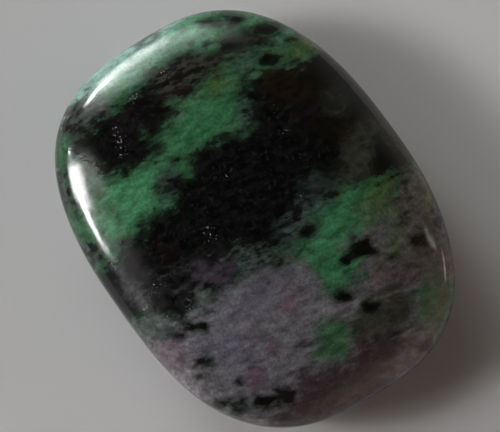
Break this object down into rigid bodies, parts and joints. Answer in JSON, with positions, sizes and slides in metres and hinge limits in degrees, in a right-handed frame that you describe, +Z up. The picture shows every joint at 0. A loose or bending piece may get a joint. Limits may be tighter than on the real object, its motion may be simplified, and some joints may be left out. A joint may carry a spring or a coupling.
{
  "type": "polished ruby in zoisite stone",
  "caption": "Flat cushion-shaped pocket stone, polished all over, with domed faces, a round rim and a small flat to rest on.",
  "frame": {"origin": "on the resting surface, under the middle of the stone's box", "axes": "+X along the long axis, towards the grey-mauve end; +Y towards the long side with the brown-black patch; +Z up out of the displayed face"},
  "size_m": [0.0358, 0.0274, 0.0097],
  "materials": {
    "ruby_zoisite": "high polish: green zoisite and grey-mauve ruby matrix with black hornblende bands"
  },
  "bodies": {
    "root": {"polished_stone": "ruby_zoisite"}
  },
  "joints": []
}
